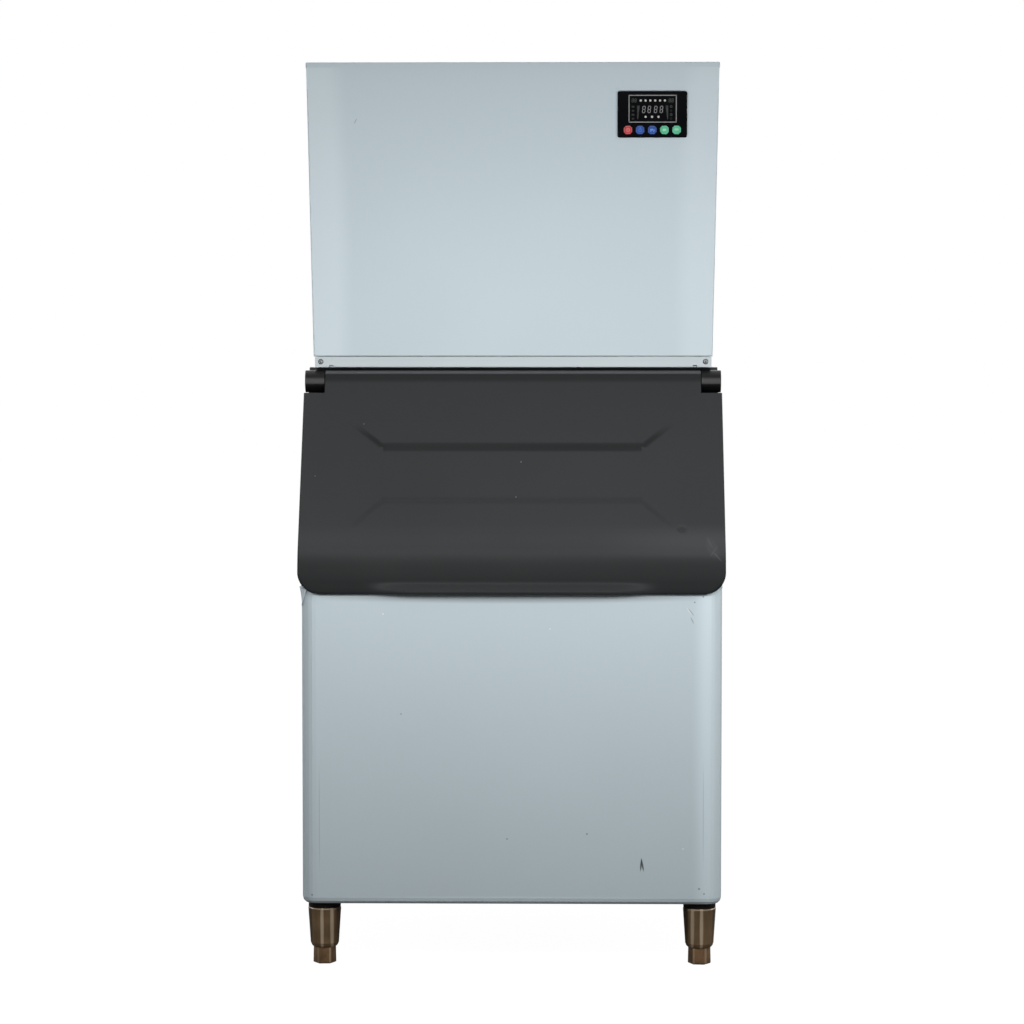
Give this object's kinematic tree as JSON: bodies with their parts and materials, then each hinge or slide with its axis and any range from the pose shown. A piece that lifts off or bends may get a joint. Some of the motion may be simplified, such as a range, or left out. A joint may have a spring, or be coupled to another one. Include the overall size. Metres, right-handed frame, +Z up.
{
  "type": "flake ice machine",
  "caption": "Ice-making head with an auger evaporator and fan-cooled condenser, on an insulated storage bin with a sloping hinged lid and levelling legs.",
  "frame": {"origin": "on the ground under the middle of the machine's bounding box", "axes": "+Z up, -Y towards the lid and the control panel, +X to the right as seen from the front"},
  "size_m": [0.77, 0.83, 1.641],
  "materials": {
    "casing_steel": "satin stainless sheet, faintly brushed",
    "galvanised": "dull zinc-coated sheet",
    "dark_plastic": "dark grey moulded plastic, fine grain",
    "black_plastic": "black moulded plastic",
    "white_plastic": "white food-safe plastic",
    "foam": "closed-cell foam",
    "rubber": "black rubber",
    "leg_metal": "satin bronze-brown metal",
    "stainless": "plain stainless steel",
    "cast_metal": "cast metal",
    "gear_steel": "cut gear steel",
    "copper": "drawn copper pipe",
    "brass": "turned brass",
    "black_paint": "black enamel",
    "aluminium": "mill aluminium",
    "display": "glossy black",
    "red_button": "moulded red",
    "blue_button": "moulded blue",
    "green_button": "moulded green"
  },
  "bodies": {
    "machine": {"bin_casing": "casing_steel", "head_base_tray": "casing_steel", "side_panel_left": "casing_steel", "side_panel_right": "casing_steel", "front_panel": "casing_steel", "top_cover": "casing_steel", "bin_rear_sheet": "galvanised", "bin_base_sheet": "galvanised", "bin_deck": "galvanised", "rear_panel": "galvanised", "reservoir_bracket": "galvanised", "electrical_box": "galvanised", "bin_liner": "white_plastic", "ice_spout": "white_plastic", "ice_chute": "white_plastic", "water_reservoir": "white_plastic", "drain_fitting": "white_plastic", "bin_insulation": "foam", "door_frame": "black_plastic", "hinge_knuckle_left": "black_plastic", "hinge_knuckle_right": "black_plastic", "fan_shroud": "black_plastic", "cable_gland": "black_plastic", "control_bezel": "display", "display_window": "display", "gearbox_case": "cast_metal", "gearbox_cover": "cast_metal", "fan_motor": "cast_metal", "evaporator_barrel": "stainless", "panel_screw_left": "stainless", "panel_screw_right": "stainless", "drive_motor": "black_paint", "compressor": "black_paint", "condenser": "aluminium", "discharge_line": "copper", "suction_line": "copper", "liquid_line": "copper", "feed_line": "brass", "water_inlet": "brass", "leg_cup_front_left": "leg_metal", "leg_cup_front_right": "leg_metal", "leg_cup_rear_left": "leg_metal", "leg_cup_rear_right": "leg_metal"},
    "lid": {"lid_shell": "dark_plastic", "lid_inner_skin": "white_plastic", "lid_gasket": "rubber"},
    "auger_drive": {"auger": "stainless", "auger_gear": "gear_steel"},
    "pinion_drive": {"motor_pinion": "gear_steel"},
    "fan_rotor": {"condenser_fan": "aluminium"},
    "float": {"float_arm": "white_plastic"},
    "key_1": {"button_1": "red_button"},
    "key_2": {"button_2": "blue_button"},
    "key_3": {"button_3": "blue_button"},
    "key_4": {"button_4": "green_button"},
    "key_5": {"button_5": "green_button"},
    "leveller_front_left": {"foot_front_left": "leg_metal"},
    "leveller_front_right": {"foot_front_right": "leg_metal"},
    "leveller_rear_left": {"foot_rear_left": "leg_metal"},
    "leveller_rear_right": {"foot_rear_right": "leg_metal"}
  },
  "joints": [
    {"name": "lid_hinge", "type": "hinge", "parent": "machine", "child": "lid", "pos_m": [0, -0.213, 1.059], "axis": [-1, 0, 0], "range_deg": [0, 90]},
    {"name": "auger_spin", "type": "hinge", "parent": "machine", "child": "auger_drive", "pos_m": [0.12, -0.02, 1.1536], "axis": [0, 0, 1], "continuous": true},
    {"name": "pinion_spin", "type": "hinge", "parent": "machine", "child": "pinion_drive", "pos_m": [0.23925, -0.02, 1.128], "axis": [0, 0, 1], "continuous": true},
    {"name": "fan_spin", "type": "hinge", "parent": "machine", "child": "fan_rotor", "pos_m": [0.14, 0.3346, 1.38], "axis": [0, 1, 0], "continuous": true},
    {"name": "float_swing", "type": "hinge", "parent": "machine", "child": "float", "pos_m": [-0.29, -0.056, 1.425], "axis": [1, 0, 0], "range_deg": [0, 12]},
    {"name": "key_1_press", "type": "slide", "parent": "machine", "child": "key_1", "axis": [0, 0.9975, 0.0701], "range_m": [0, 0.001], "stiffness_N_per_m": 800},
    {"name": "key_2_press", "type": "slide", "parent": "machine", "child": "key_2", "axis": [0, 0.9975, 0.0701], "range_m": [0, 0.001], "stiffness_N_per_m": 800},
    {"name": "key_3_press", "type": "slide", "parent": "machine", "child": "key_3", "axis": [0, 0.9975, 0.0701], "range_m": [0, 0.001], "stiffness_N_per_m": 800},
    {"name": "key_4_press", "type": "slide", "parent": "machine", "child": "key_4", "axis": [0, 0.9975, 0.0701], "range_m": [0, 0.001], "stiffness_N_per_m": 800},
    {"name": "key_5_press", "type": "slide", "parent": "machine", "child": "key_5", "axis": [0, 0.9975, 0.0701], "range_m": [0, 0.001], "stiffness_N_per_m": 800},
    {"name": "level_front_left", "type": "slide", "parent": "machine", "child": "leveller_front_left", "axis": [0, 0, -1], "range_m": [0, 0.025]},
    {"name": "level_front_right", "type": "slide", "parent": "machine", "child": "leveller_front_right", "axis": [0, 0, -1], "range_m": [0, 0.025]},
    {"name": "level_rear_left", "type": "slide", "parent": "machine", "child": "leveller_rear_left", "axis": [0, 0, -1], "range_m": [0, 0.025]},
    {"name": "level_rear_right", "type": "slide", "parent": "machine", "child": "leveller_rear_right", "axis": [0, 0, -1], "range_m": [0, 0.025]}
  ],
  "couplings": [
    {"joint": "pinion_spin", "follows": "auger_spin", "ratio": -2}
  ]
}
